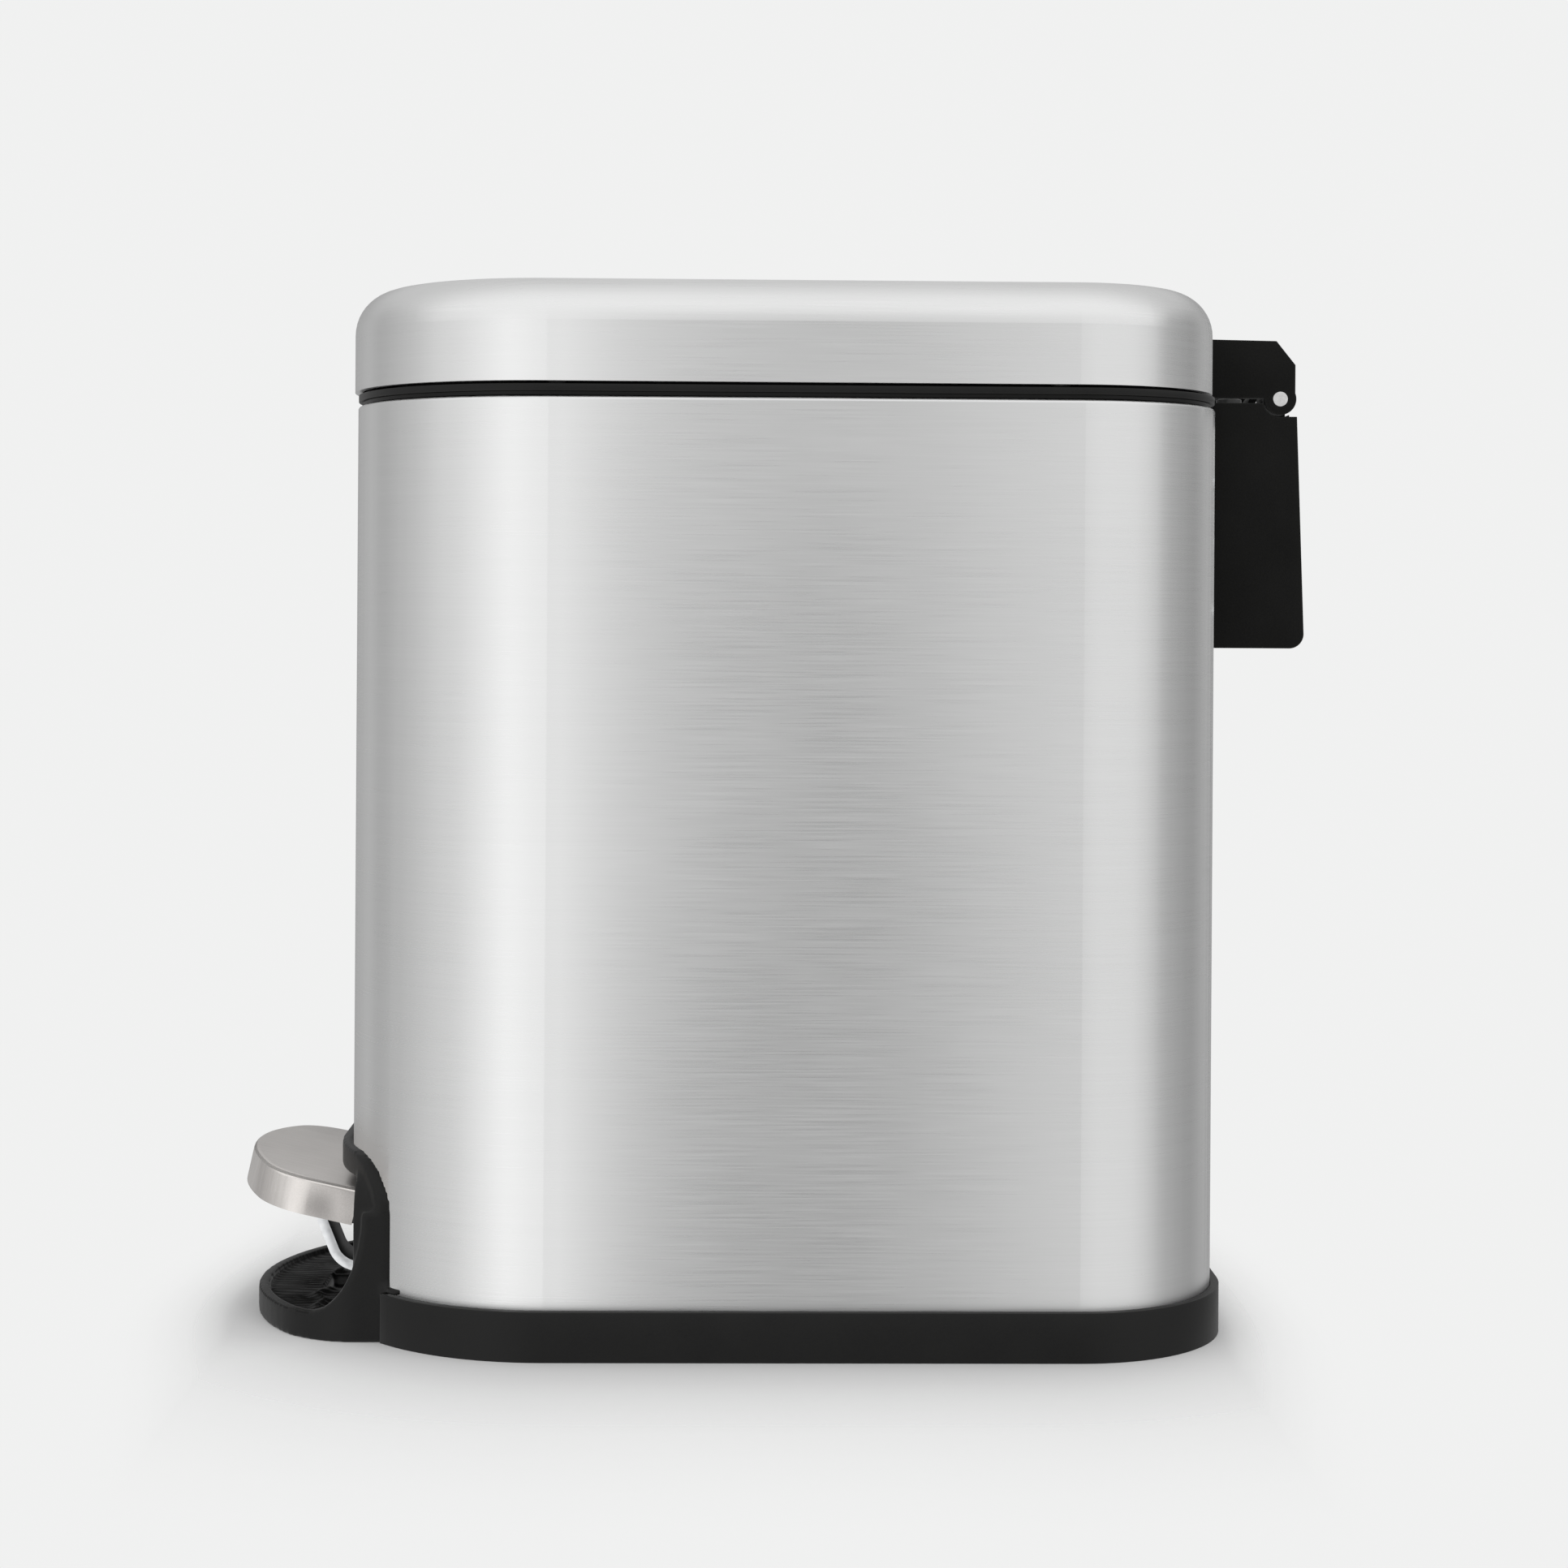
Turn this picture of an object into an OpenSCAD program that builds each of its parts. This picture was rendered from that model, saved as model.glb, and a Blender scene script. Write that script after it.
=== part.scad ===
// Pedal bin: steel body and lid, black plastic base, foot pedal, rear hinge.
// Millimetres. +Z up, the pedal points along -X, the hinge is at +X.

/* [Body] */
// Length of the body from front to back
body_length = 236; // [200:1:300]
// Width of the body
body_width = 132; // [125:1:170]
// Height of the body's top edge above the floor
body_top = 251; // [230:1:330]
// Corner radius at the front
front_radius = 56; // [50:0.5:58]
// Corner radius at the back
rear_radius = 40; // [34:0.5:40]
// Sheet thickness of the body
body_sheet = 0.6; // [0.5:0.1:1]
// Radius of the rolled bead at the body's top edge
bead_radius = 0.9; // [0.8:0.05:1.1]

/* [Base] */
// Height of the plastic ring round the foot of the body
ring_height = 13.1; // [11:0.1:20]
// How far the ring stands out from the body
ring_proud = 2.45; // [1.5:0.05:4]
// Wall of the plastic base
base_wall = 2; // [1.6:0.1:2.6]
// Height of the deck the bucket stands on
deck_top = 31.5; // [30:0.5:40]
// Height of a rubber foot
foot_height = 3; // [2:0.5:4]

/* [Pedal surround] */
// Half width of the surround
surround_half = 47.8; // [46:0.1:50]
// Half width of the opening in the surround
opening_half = 43.8; // [42:0.1:45]
// Height of the surround's top edge
surround_top = 49; // [47:0.5:56]
// Height of the opening's top edge
opening_top = 42; // [41:0.5:43]
// How far the surround stands out from the body
surround_proud = 3; // [2:0.1:4]
// Height of the rim round the foot plate
rim_height = 7.5; // [6:0.1:9]
// Height of the foot plate's floor
foot_floor = 5.2; // [3:0.1:5.5]

/* [Lid] */
// Height of the lid's side below its rounded edge
lid_side = 15.9; // [14:0.1:22]
// Radius of the lid's rounded top edge
lid_round = 12; // [9:0.5:14]
// Sheet thickness of the lid
lid_sheet = 0.7; // [0.6:0.1:1]
// Gap between the body's bead and the lid's lower edge
lid_gap = 3.9; // [3.6:0.1:5]

/* [Hinge] */
// Half width of the hinge bracket and housing
hinge_half = 22; // [20:0.5:22.5]
// Distance of the pin behind the body
pin_setback = 19.4; // [18:0.1:22]
// Radius of the hinge pin
pin_radius = 2; // [1.8:0.1:2.3]
// Radius of the bracket's hub round the pin
hub_radius = 4.4; // [4:0.1:4.6]
// Height of the hinge housing
housing_height = 68; // [60:1:90]
// Radial clearance of a turning fit
turn_clear = 0.06; // [0.03:0.01:0.09]

/* [Bucket] */
// Gap between the bucket's side and the body
bucket_gap = 7; // [6:0.5:10]
// Wall of the bucket
bucket_wall = 1.6; // [1.4:0.1:2.2]
// Radius of the carrying wire
bail_radius = 2; // [1.5:0.1:2]

/* [Pedal] */
// Half width of the pedal
pedal_half = 37; // [34:0.5:38]
// Slope of the pedal in degrees, front edge high
pedal_slope = 12.4; // [8:0.1:14]
// Depth of the pedal's skirt
pedal_skirt = 10; // [9:0.1:11]
// Sheet thickness of the pedal
pedal_sheet = 0.9; // [0.8:0.1:1.2]
// Width of the lever strip
lever_width = 14; // [12:0.5:16]
// Thickness of the lever strip
lever_thick = 2.8; // [2.4:0.1:3]
// Radius of the lever's pivot pin
pivot_radius = 2.5; // [2:0.1:2.8]
// Radius of the push rod
rod_radius = 2.5; // [2:0.1:2.8]

/* [Part] */
// The sub-part to draw

/* [Hidden] */
$fn = 96;

front_x = -body_length / 2;
rear_x = body_length / 2;
side_y = body_width / 2;
sheet_seat = 0.15;
shell_bottom = 9;

lid_bottom = body_top + lid_gap;
lid_top = lid_bottom + lid_side + lid_round;
lid_front_x = front_x - 0.9;
lid_rear_x = rear_x - 0.8;
lid_out = 0.5;

pin_x = rear_x + pin_setback;
pin_z = lid_bottom;
housing_bottom = pin_z - housing_height - 1;
housing_top = lid_bottom - 1.2;
housing_rear_x = pin_x + 4.6;
housing_lean = 2.2;
bracket_rear_x = pin_x + 4.1;
recess_radius = hub_radius + 0.6;

lever_bottom = 9.8;
lever_top = lever_bottom + lever_thick;
pivot_x = -25;
pivot_hub = pivot_radius + 2;
pivot_z = lever_top + pivot_hub - 0.5;
rib_y = 16;

rod_x = rear_x - 11;
rod_top_x = pin_x - 10.6;
rod_jog_z = body_top - 36;
rod_lift = 10.3;
rod_gap = 0.75;
cap_radius = rod_radius + 1.1;
foot_radius = cap_radius + 0.4;

bucket_rear_x = rod_x - 7;
bucket_base = deck_top + 0.5;
step_top = surround_top + 2;
step_x = front_x + 34;
rim_z = body_top - 3.6;
ledge_top = rim_z - 0.6;
ledge_in = bucket_gap - 0.9;
collar_in = 2 * bead_radius + 0.2;
rim_out = bucket_gap - collar_in - 2.1;
bucket_top = rim_z + 1.6;
bail_z = rim_z - 6;
bail_inset = bucket_gap + bucket_wall + bail_radius + 1.4;

pedal_rear_x = front_x + 9;
pedal_ref_x = front_x - 15.5;
pedal_ref_z = 43.2;
pocket_rear_x = front_x + 28;
pocket_floor = 1.6;

// outline with rounded corners, rf at the front and rr at the back
module outline(xf, xr, hw, rf, rr) {
    translate([xf + rf, -hw]) square([xr - rr - xf - rf, 2 * hw]);
    translate([xf, rf - hw]) square([rf + 1, 2 * (hw - rf)]);
    translate([xr - rr - 1, rr - hw]) square([rr + 1, 2 * (hw - rr)]);
    for (s = [-1, 1]) {
        translate([xf + rf, s * (hw - rf)]) circle(r = rf);
        translate([xr - rr, s * (hw - rr)]) circle(r = rr);
    }
}

// the body's outline, grown outwards by o
module body_plan(o = 0) {
    outline(front_x - o, rear_x + o, side_y + o, front_radius + o, rear_radius + o);
}

// the lid's outline, grown outwards by o
module lid_plan(o = 0) {
    outline(lid_front_x - o, lid_rear_x + o, side_y + lid_out + o,
        front_radius + lid_out + o, rear_radius + lid_out + o);
}

// carries a profile (x outwards, y up) once round an outline
module sweep(xf, xr, hw, rf, rr) {
    for (s = [0, 1]) mirror([0, s, 0]) {
        translate([xf + rf, hw - rf, 0]) rotate([0, 0, 90])
            rotate_extrude(angle = 90) translate([rf, 0]) children();
        translate([xr - rr, hw - rr, 0])
            rotate_extrude(angle = 90) translate([rr, 0]) children();
        translate([xf + rf, hw, 0]) rotate([90, 0, 90])
            linear_extrude(xr - rr - xf - rf) children();
    }
    translate([xf, rf - hw, 0]) rotate([90, 0, 180])
        linear_extrude(2 * (hw - rf)) children();
    translate([xr, hw - rr, 0]) rotate([90, 0, 0])
        linear_extrude(2 * (hw - rr)) children();
}

module body_sweep() {
    sweep(front_x, rear_x, side_y, front_radius, rear_radius) children();
}

module lid_sweep() {
    sweep(lid_front_x, lid_rear_x, side_y + lid_out, front_radius + lid_out,
        rear_radius + lid_out) children();
}

// a band between two offsets of the body's outline
module band(inner, outer, z0, z1) {
    translate([0, 0, z0]) linear_extrude(z1 - z0) difference() {
        body_plan(outer);
        body_plan(inner);
    }
}

// arch-topped block through the front, for the opening and its surround
module arch_block(half, top, r, x0, x1, z0 = -1) {
    translate([x0, 0, 0]) rotate([90, 0, 90]) linear_extrude(x1 - x0) {
        translate([-half, z0]) square([2 * half, top - r - z0]);
        translate([r - half, z0]) square([2 * (half - r), top - z0]);
        for (s = [-1, 1]) translate([s * (half - r), top - r]) circle(r = r);
    }
}

// a profile in X and Z, with thickness along Y between y0 and y1
module side_plate(y0, y1) {
    translate([0, y1, 0]) rotate([90, 0, 0]) linear_extrude(y1 - y0) children();
}

module y_rod(x, z, r, half) {
    translate([x, half, z]) rotate([90, 0, 0]) cylinder(r = r, h = 2 * half);
}

// screw with a round head: the shank points along +Z from the head's seat
module pan_screw(r, length) {
    cylinder(r = r, h = length);
    translate([0, 0, -2.2]) difference() {
        cylinder(r = 2 * r, h = 2.25);
        for (a = [0, 90]) rotate([0, 0, a])
            translate([-r, -0.4, -0.1]) cube([2 * r, 0.8, 1.2]);
    }
}

housing_screw_z = [housing_bottom + 10, housing_bottom + 46];
housing_screw_y = 13;
guide_z = rod_jog_z - 42;
guide_screw_y = 7.6;

module body_shell() {
    color("silver") difference() {
        union() {
            band(-body_sheet, 0, shell_bottom, body_top - bead_radius);
            body_sweep() translate([-bead_radius, body_top - bead_radius])
                circle(r = bead_radius);
        }
        arch_block(opening_half + 2.7, opening_top + 4, 12, front_x - 20, front_x + 40);
        translate([rear_x - 5, -cap_radius - 1, rod_jog_z - rod_radius - 1])
            cube([10, 2 * cap_radius + 2, 2 * rod_radius + 2 + rod_lift + 1.5]);
        for (s = [-1, 1]) for (z = housing_screw_z)
            translate([rear_x - 5, s * housing_screw_y, z]) rotate([0, 90, 0])
                cylinder(r = 2.2, h = 10);
        for (s = [-1, 1]) translate([rear_x - 5, s * guide_screw_y, guide_z])
            rotate([0, 90, 0]) cylinder(r = 1.7, h = 10);
    }
}

// the collar stands inside the rolled bead, covers it and carries the bucket
module top_collar() {
    wall = 1.6;
    color("#1b1b1c") body_sweep() union() {
        translate([-collar_in - wall, body_top - 12]) square([wall, 15.2]);
        translate([-collar_in - wall, body_top + 0.25])
            square([collar_in + wall - 1.5, 2.95]);
        translate([-collar_in - wall, body_top + 1.25])
            square([collar_in + wall - 0.1, 1.95]);
        translate([-ledge_in, ledge_top - 1.8]) square([ledge_in - collar_in - 0.1, 1.8]);
    }
}

module base_pan() {
    color("#1c1c1d") difference() {
        union() {
            band(-base_wall - 0.8, ring_proud, 0, shell_bottom);
            band(sheet_seat, ring_proud, shell_bottom - 0.1, ring_height);
            band(-base_wall - 0.8, -body_sheet - sheet_seat, shell_bottom - 0.1, deck_top);
            translate([0, 0, deck_top - base_wall]) linear_extrude(base_wall)
                body_plan(-base_wall);
            for (s = [-1, 1]) {
                translate([front_x + 38, s * (rib_y + 1.5) - 1.5, 2.2])
                    cube([body_length - 60, 3, deck_top - 3.2]);
                for (x = [-60, 60]) translate([x, s * 40, 2.2])
                    translate([-1, -22, 0]) cube([2, 44, deck_top - 3.2]);
                for (x = [-50, 50]) translate([x, s * 24, 2.2])
                    cylinder(r = 4, h = deck_top - 3.2);
                for (x = [-foot_x, foot_x]) translate([x, s * 44, foot_height])
                    cylinder(r = 5, h = deck_top - 1 - foot_height);
            }
        }
        arch_block(surround_half + 0.2, surround_top + 1, 12, front_x - 20, front_x + 29);
        y_rod(pivot_x, pivot_z, pivot_radius + 0.02, 30);
        translate([rod_x, 0, 5]) cylinder(r = foot_radius + 0.6, h = 40);
        for (s = [-1, 1]) for (x = [-50, 50]) translate([x, s * 24, -1])
            cylinder(r = 1.5, h = 16);
    }
}

module base_cover() {
    color("#202021") difference() {
        translate([-62, -32, 0]) cube([124, 64, 2.1]);
        for (s = [-1, 1]) for (x = [-50, 50]) translate([x, s * 24, -1])
            cylinder(r = 1.7, h = 6);
        for (s = [-1, 1]) for (x = [-50, 50]) translate([x, s * 24, -0.01])
            cylinder(r = 3.4, h = 1.51);
    }
}

module cover_screws() {
    color("#9a9c9e") for (s = [-1, 1]) for (x = [-50, 50]) translate([x, s * 24, 0]) {
        translate([0, 0, 0.2]) cylinder(r = 3, h = 1.25);
        cylinder(r = 1.48, h = 12);
    }
}

foot_x = 74;

module rubber_feet() {
    color("#2b2b2c") for (s = [-1, 1]) for (x = [-foot_x, foot_x])
        translate([x, s * 44, 0]) cylinder(r = 7, h = foot_height);
}

foot_r = 26;
foot_front_r = 64;
rim_wall = 3;
leg_run = 15;
leg_height = 27;

function arc_points(x, y, r, a0, a1, n, first = 1) = [
    for (k = [first:n])
        [x + r * cos(a0 + (a1 - a0) * k / n), y + r * sin(a0 + (a1 - a0) * k / n)]
];

function ellipse_points(x, y, rx, ry, a0, a1, n) = [
    for (k = [0:n])
        [x + rx * cos(a0 + (a1 - a0) * k / n), y + ry * sin(a0 + (a1 - a0) * k / n)]
];

// outline with a bowed front: corner radius r about x = cx, front radius big,
// straight sides back to rear, all drawn in by i
module bow_plan(cx, half, r, big, rear, i) {
    cy = half - r;
    fx = cx + sqrt(pow(big - r, 2) - cy * cy);
    a = atan2(cy, fx - cx);
    polygon(concat(
        [[rear, i - half]],
        arc_points(cx, -cy, r - i, 270, 180 + a, 14, 0),
        arc_points(fx, 0, big - i, 180 + a, 180 - a, 18),
        arc_points(cx, cy, r - i, 180 - a, 90, 14),
        [[rear, half - i]]
    ));
}

// the foot plate's outline, drawn in by i
module foot_plan(i = 0, rear = pocket_rear_x) {
    bow_plan(front_x + 5.5, surround_half, foot_r, foot_front_r, rear, i);
}

// the rim wall, with the legs that sweep up from it
module rim_and_legs() {
    leg_front_x = front_x + 6.6;
    difference() {
        linear_extrude(rim_height + leg_height) difference() {
            foot_plan(0, front_x + 14);
            foot_plan(rim_wall, front_x + 16);
        }
        side_plate(-100, 100) polygon(concat(
            [[leg_front_x - leg_run - 40, rim_height]],
            ellipse_points(leg_front_x - leg_run, rim_height + leg_height,
                leg_run, leg_height, 270, 360, 14),
            [[leg_front_x, rim_height + leg_height + 5],
            [leg_front_x - leg_run - 40, rim_height + leg_height + 5]]
        ));
    }
}

module pedal_surround() {
    color("#1a1a1b") difference() {
        union() {
            // band that follows the body's front
            intersection() {
                band(0.25, surround_proud, 0, surround_top);
                arch_block(surround_half, surround_top, 14, front_x - 10, front_x + 30);
            }
            linear_extrude(foot_floor) foot_plan(0.3);
            rim_and_legs();
            // pocket behind the opening
            arch_block(opening_half + 2, opening_top + 2, 11, front_x + 4, pocket_rear_x, 0);
            // hooks over the base ring
            for (s = [0, 1]) mirror([0, s, 0]) intersection() {
                band(0.3, ring_proud - 0.4, ring_height + 0.1, ring_height + 2);
                translate([front_x, surround_half - 2, 0]) cube([30, 6, 20]);
            }
        }
        arch_block(opening_half, opening_top, 9, front_x - surround_proud - 0.5,
            pocket_rear_x - 2, foot_floor);
        // trough that the lever sinks into
        translate([knee_x - knee_bend, -lever_width / 2 - 1.5, pocket_floor])
            cube([pocket_rear_x - 2 - knee_x + knee_bend, lever_width + 3, foot_floor]);
        translate([pocket_rear_x - 5, -lever_width / 2 - 1.5, pocket_floor])
            cube([10, lever_width + 3, 17]);
    }
}

module bucket_plan(o) {
    intersection() {
        body_plan(-bucket_gap - o);
        translate([-200, -100]) square([200 + bucket_rear_x - o, 200]);
    }
}

// the bucket's solid form, drawn in by o, stepped over the pedal pocket
module bucket_form(o, z0, z1) {
    translate([0, 0, step_top + o]) linear_extrude(z1 - step_top - o) bucket_plan(o);
    translate([0, 0, z0]) linear_extrude(step_top + o - z0 + 0.5) intersection() {
        bucket_plan(o);
        translate([step_x + o, -100]) square([250, 200]);
    }
}

module inner_bucket() {
    color("#232324") difference() {
        union() {
            bucket_form(0, bucket_base, bucket_top);
            translate([0, 0, rim_z]) linear_extrude(1.6) intersection() {
                body_plan(-bucket_gap + rim_out);
                translate([-200, -100]) square([200 + bucket_rear_x + rim_out, 200]);
            }
        }
        bucket_form(bucket_wall, bucket_base + bucket_wall + 0.2, bucket_top + 5);
        y_rod(0, bail_z, bail_radius + turn_clear, side_y);
    }
}

bail_y = side_y - bail_inset;
bail_front_x = front_x + bail_inset;
bail_corner = front_radius - bail_inset;

module bucket_bail() {
    color("#b9bbbd") translate([0, 0, bail_z]) {
        for (s = [0, 1]) mirror([0, s, 0]) {
            translate([0, bail_y, 0]) rotate([-90, 0, 0])
                cylinder(r = bail_radius, h = bail_inset - bucket_gap + 0.5);
            translate([0, bail_y, 0]) sphere(r = bail_radius);
            translate([front_x + front_radius, bail_y, 0]) rotate([0, 90, 0])
                cylinder(r = bail_radius, h = -front_x - front_radius);
            translate([front_x + front_radius, side_y - front_radius, 0])
                rotate([0, 0, 90]) rotate_extrude(angle = 90)
                    translate([bail_corner, 0]) circle(r = bail_radius);
        }
        y_rod(bail_front_x, 0, bail_radius, side_y - front_radius);
    }
}

module bail_grip() {
    color("#2a2a2b") difference() {
        y_rod(bail_front_x, bail_z, bail_radius + 1.3, side_y - front_radius - 0.4);
        y_rod(bail_front_x, bail_z, bail_radius + 0.02, side_y);
    }
}

module lid_shell() {
    color("silver") difference() {
        union() {
            lid_sweep() {
                translate([-lid_sheet, lid_bottom]) square([lid_sheet, lid_side]);
                translate([-lid_round, lid_bottom + lid_side]) intersection() {
                    difference() {
                        circle(r = lid_round);
                        circle(r = lid_round - lid_sheet);
                    }
                    square(lid_round);
                }
                translate([-2, lid_bottom]) square([2, 1.2]);
            }
            translate([0, 0, lid_top - lid_sheet]) linear_extrude(lid_sheet)
                lid_plan(-lid_round);
        }
        for (s = [-1, 1]) translate([lid_rear_x - 5, s * 12, pin_z + 10]) rotate([0, 90, 0])
            cylinder(r = 2.2, h = 10);
    }
}

liner_bottom = lid_bottom + 0.8;

// a band between two offsets of the lid's outline
module lid_band(inner, outer, z0, z1) {
    translate([0, 0, z0]) linear_extrude(z1 - z0) difference() {
        lid_plan(outer);
        lid_plan(inner);
    }
}

module lid_liner() {
    color("#242425") difference() {
        union() {
            translate([0, 0, liner_bottom]) linear_extrude(1.6) lid_plan(-2.3);
            lid_band(-10.5, -9, liner_bottom - 3, liner_bottom + 0.5);
            lid_band(-5, -3.6, liner_bottom + 1, liner_bottom + 5);
        }
        translate([lid_rear_x - 7, -18, liner_bottom + 1.7]) cube([10, 36, 6]);
    }
}

module lid_bumpers() {
    color("#3a3a3b") for (s = [-1, 1]) for (x = [-60, 72])
        translate([x, s * (side_y - 4.2), body_top + 3.5])
            cylinder(r = 2.2, h = liner_bottom - body_top - 3.5);
}

module hinge_bracket() {
    color("#1a1a1b") difference() {
        union() {
            side_plate(-hinge_half, hinge_half) polygon([
                [lid_rear_x + 0.1, pin_z + 0.2], [lid_rear_x + 0.1, pin_z + 16.3],
                [pin_x - 1.2, pin_z + 16], [bracket_rear_x, pin_z + 9.4],
                [bracket_rear_x, pin_z + 0.2]
            ]);
            for (s = [-1, 1]) translate([0, s * (hinge_half - 2), 0])
                y_rod(pin_x, pin_z, hub_radius, 2);
        }
        // hollow, but for the lug that the rod lifts
        difference() {
            side_plate(4 - hinge_half, hinge_half - 4) polygon([
                [lid_rear_x + 4, pin_z - 5], [lid_rear_x + 4, pin_z + 14],
                [pin_x - 2.4, pin_z + 14], [bracket_rear_x - 2, pin_z + 8.6],
                [bracket_rear_x - 2, pin_z - 5]
            ]);
            translate([rod_top_x - 3.4, -5, pin_z + 1.7]) cube([6.8, 10, 30]);
        }
        translate([pin_x - hub_radius - 1, 4 - hinge_half, pin_z - 8])
            cube([20, 2 * hinge_half - 8, 8 + hub_radius + 0.9]);
        y_rod(pin_x, pin_z, pin_radius + turn_clear, 40);
        for (s = [-1, 1]) translate([lid_rear_x, s * 12, pin_z + 10]) rotate([0, 90, 0])
            cylinder(r = 1.98, h = 14);
    }
}

module bracket_screws() {
    color("#a2a4a6") for (s = [-1, 1])
        translate([lid_rear_x - lid_sheet - 0.05, s * 12, pin_z + 10])
            rotate([0, 90, 0]) pan_screw(1.95, 5.5);
}

module hinge_housing() {
    inner = hinge_half - 2;
    color("#1a1a1b") difference() {
        union() {
            // casing, open towards the body
            difference() {
                side_plate(-hinge_half, hinge_half) difference() {
                    union() {
                        polygon([
                            [rear_x, housing_bottom],
                            [housing_rear_x + housing_lean - 4, housing_bottom],
                            [housing_rear_x + housing_lean, housing_bottom + 4],
                            [housing_rear_x, pin_z - 4.9], [rear_x, pin_z - 4.9]
                        ]);
                        translate([housing_rear_x + housing_lean - 4, housing_bottom + 4])
                            circle(r = 4);
                        translate([rear_x, pin_z - 10])
                            square([pin_x + 2.4 - rear_x, housing_top - pin_z + 10]);
                    }
                    translate([pin_x, pin_z]) circle(r = recess_radius);
                    translate([pin_x, pin_z - 3]) square([10, 10]);
                }
                translate([rear_x - 1, -inner, housing_bottom + 2])
                    cube([housing_rear_x - rear_x - 1, 2 * inner, 200]);
            }
            // screw bosses
            for (s = [-1, 1]) for (z = housing_screw_z)
                translate([rear_x, s * housing_screw_y, z]) rotate([0, 90, 0])
                    cylinder(r = 4, h = housing_rear_x - rear_x - 1);
            // knuckles that carry the pin
            for (s = [-1, 1]) translate([0, s * 12, 0]) {
                y_rod(pin_x, pin_z, 4, 5);
                translate([pin_x - 3, -5, pin_z - 14]) cube([5.2, 10, 12]);
                translate([pin_x - 3, -5, pin_z - 14]) cube([6.5, 10, 7]);
            }
        }
        y_rod(pin_x, pin_z, pin_radius + 0.02, 30);
        for (s = [-1, 1]) for (z = housing_screw_z)
            translate([rear_x - 1, s * housing_screw_y, z]) rotate([0, 90, 0])
                cylinder(r = 1.98, h = 12);
    }
}

module housing_screws() {
    color("#a2a4a6") for (s = [-1, 1]) for (z = housing_screw_z)
        translate([rear_x - body_sheet - 0.05, s * housing_screw_y, z])
            rotate([0, 90, 0]) pan_screw(1.95, 9);
}

module hinge_pin() {
    color("#d2d3d4") y_rod(pin_x, pin_z, pin_radius, hinge_half - 0.1);
}

module push_rod() {
    top = pin_z + 1.2;
    color("#b4b6b8") {
        translate([rod_x, 0, lever_top + rod_gap + 1]) cylinder(r = rod_radius,
            h = rod_jog_z - lever_top - rod_gap - 1);
        translate([rod_x, 0, rod_jog_z]) sphere(r = rod_radius);
        translate([rod_x, 0, rod_jog_z]) rotate([0, 90, 0])
            cylinder(r = rod_radius, h = rod_top_x - rod_x);
        translate([rod_top_x, 0, rod_jog_z]) sphere(r = rod_radius);
        translate([rod_top_x, 0, rod_jog_z]) cylinder(r = rod_radius, h = top - 1 - rod_jog_z);
    }
}

module rod_cap() {
    top = pin_z + 1.4;
    color("#2d2d2e") difference() {
        translate([rod_top_x, 0, top - 8]) cylinder(r = cap_radius, h = 8);
        translate([rod_top_x, 0, top - 9]) cylinder(r = rod_radius + 0.02, h = 7.8);
    }
}

module rod_foot() {
    bottom = lever_top + rod_gap;
    color("#2d2d2e") difference() {
        translate([rod_x, 0, bottom]) cylinder(r = foot_radius, h = 6);
        translate([rod_x, 0, bottom + 1]) cylinder(r = rod_radius + 0.02, h = 9);
    }
}

module rod_guide() {
    color("#2d2d2e") difference() {
        union() {
            translate([rod_x - 4.6, -5, guide_z - 4])
                cube([rear_x - body_sheet - rod_x + 4.5, 10, 8]);
            translate([rear_x - body_sheet - 2.6, -10, guide_z - 4]) cube([2.5, 20, 8]);
        }
        translate([rod_x, 0, guide_z - 9]) cylinder(r = rod_radius + turn_clear, h = 18);
        for (s = [-1, 1]) translate([rear_x - 8, s * guide_screw_y, guide_z])
            rotate([0, 90, 0]) cylinder(r = 1.48, h = 10);
    }
}

module guide_screws() {
    color("#a2a4a6") for (s = [-1, 1]) translate([rear_x - 3.25, s * guide_screw_y, guide_z])
        rotate([0, 90, 0]) cylinder(r = 1.45, h = 3.2);
}

// places a piece on the sloping pedal plane, x forwards from the reference
module on_pedal() {
    translate([pedal_ref_x, 0, pedal_ref_z]) rotate([0, pedal_slope, 0]) children();
}

// the pedal's outline in its own plane, drawn in by i
module pedal_plan(i = 0) {
    bow_plan(7.8, pedal_half, 16, 60, 24, i);
}

module pedal_cap() {
    color("#c3c1be") on_pedal() difference() {
        translate([0, 0, -pedal_skirt]) linear_extrude(pedal_skirt) pedal_plan();
        translate([0, 0, -pedal_skirt - 1]) linear_extrude(pedal_skirt + 1 - pedal_sheet)
            intersection() {
                pedal_plan(pedal_sheet);
                translate([-40, -60]) square([80, 120]);
            }
        translate([20.6, -60, -pedal_skirt - 1]) cube([10, 120, 3.4]);
        translate([24 - pedal_sheet, pedal_sheet - pedal_half, -pedal_skirt - 1])
            cube([4, 2 * (pedal_half - pedal_sheet), pedal_skirt + 1 - pedal_sheet]);
    }
}

module pedal_core() {
    gap = 0.1;
    color("#1d1d1e") on_pedal() difference() {
        translate([0, 0, 0.3 - pedal_skirt]) linear_extrude(pedal_skirt - 0.3 - pedal_sheet - gap)
            intersection() {
                pedal_plan(pedal_sheet + gap);
                translate([-40, -60]) square([63.5, 120]);
            }
        // hollow underside, with a way in for the lever
        for (s = [-1, 1]) translate([0, s * 19, 0]) linear_extrude(20, center = true)
            intersection() {
                translate([0, -s * 19]) pedal_plan(4);
                translate([-9, -9.5]) square([30, 19]);
            }
        translate([-6.5, -lever_width / 2 - 1, -pedal_skirt - 2])
            cube([40, lever_width + 2, pedal_skirt + 2 - 4.1]);
        for (s = [-1, 1]) translate([rivet_x, s * 4, -9]) cylinder(r = 1.55, h = 18);
    }
}

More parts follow.
